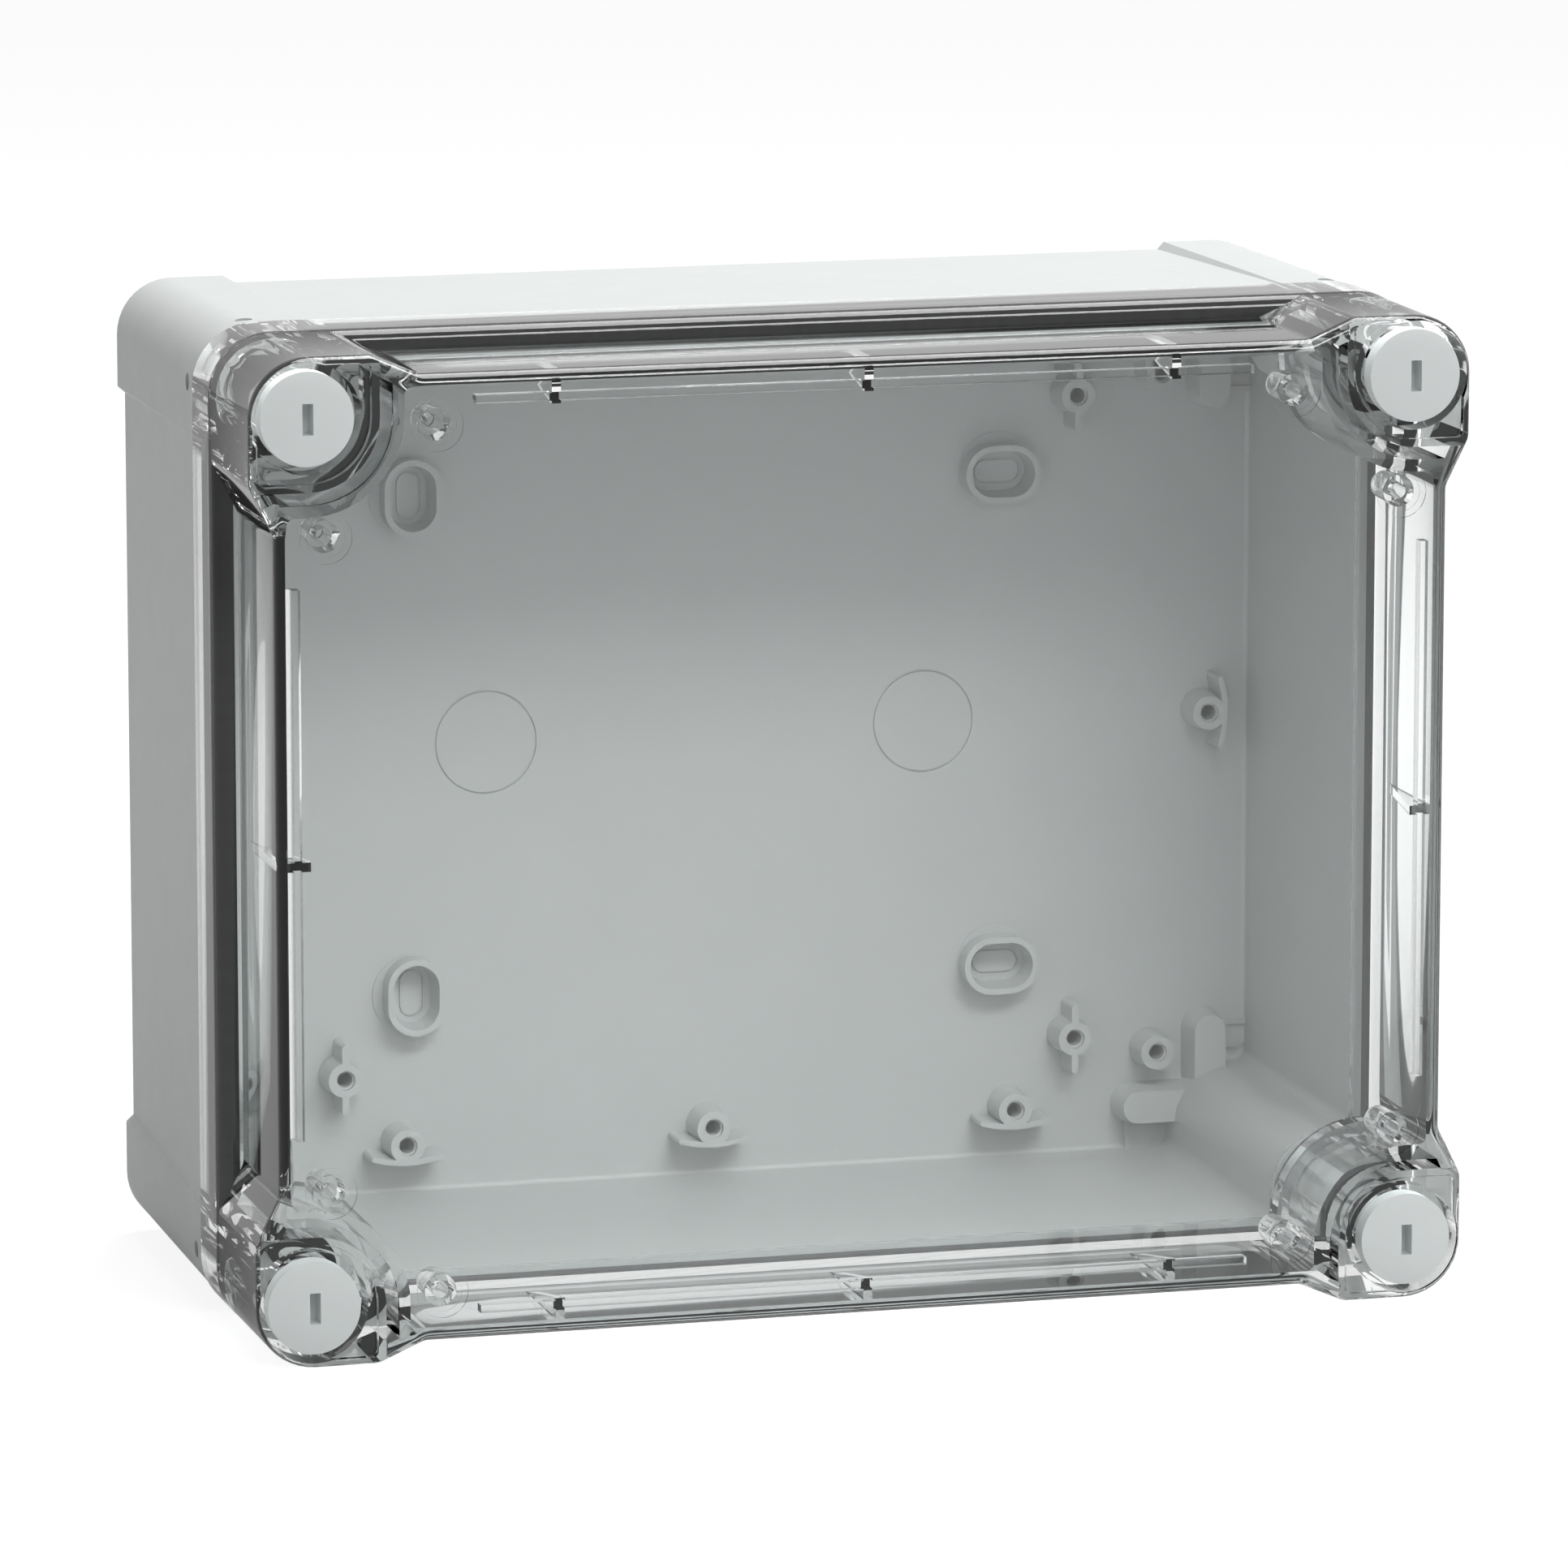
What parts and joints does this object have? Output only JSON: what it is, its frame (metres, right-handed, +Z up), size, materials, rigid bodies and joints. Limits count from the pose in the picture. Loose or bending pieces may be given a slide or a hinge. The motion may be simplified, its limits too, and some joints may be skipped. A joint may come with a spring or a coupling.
{
  "type": "electrical enclosure",
  "caption": "Rectangular wall box for electrical equipment: grey tray with screw bosses inside, deep clear cover, and quarter-turn cover screws in corner turrets.",
  "frame": {"origin": "centre of the rear face, on the wall", "axes": "-Y is the front (the clear pane), +Z is up, +X is to the right seen from the front"},
  "size_m": [0.241, 0.127, 0.194],
  "materials": {
    "tray_plastic": "satin moulded light grey",
    "clear_plastic": "clear polished moulding",
    "gasket_foam": "matt near-black foamed cord",
    "screw_plastic": "satin moulded pale grey"
  },
  "bodies": {
    "base": {"base_tray": "tray_plastic"},
    "cover": {"clear_cover": "clear_plastic", "cover_gasket": "gasket_foam"},
    "screw_top_left": {"cover_screw_top_left": "screw_plastic"},
    "screw_top_right": {"cover_screw_top_right": "screw_plastic"},
    "screw_bottom_left": {"cover_screw_bottom_left": "screw_plastic"},
    "screw_bottom_right": {"cover_screw_bottom_right": "screw_plastic"}
  },
  "joints": [
    {"name": "cover_slide", "type": "slide", "parent": "base", "child": "cover", "axis": [0, -1, 0], "range_m": [0, 0.06]},
    {"name": "screw_turn_top_left", "type": "hinge", "parent": "cover", "child": "screw_top_left", "pos_m": [-0.109, -0.1, 0.085], "axis": [0, -1, 0], "range_deg": [0, 90]},
    {"name": "screw_turn_top_right", "type": "hinge", "parent": "cover", "child": "screw_top_right", "pos_m": [0.109, -0.1, 0.085], "axis": [0, -1, 0], "range_deg": [0, 90]},
    {"name": "screw_turn_bottom_left", "type": "hinge", "parent": "cover", "child": "screw_bottom_left", "pos_m": [-0.109, -0.1, -0.085], "axis": [0, -1, 0], "range_deg": [0, 90]},
    {"name": "screw_turn_bottom_right", "type": "hinge", "parent": "cover", "child": "screw_bottom_right", "pos_m": [0.109, -0.1, -0.085], "axis": [0, -1, 0], "range_deg": [0, 90]}
  ]
}
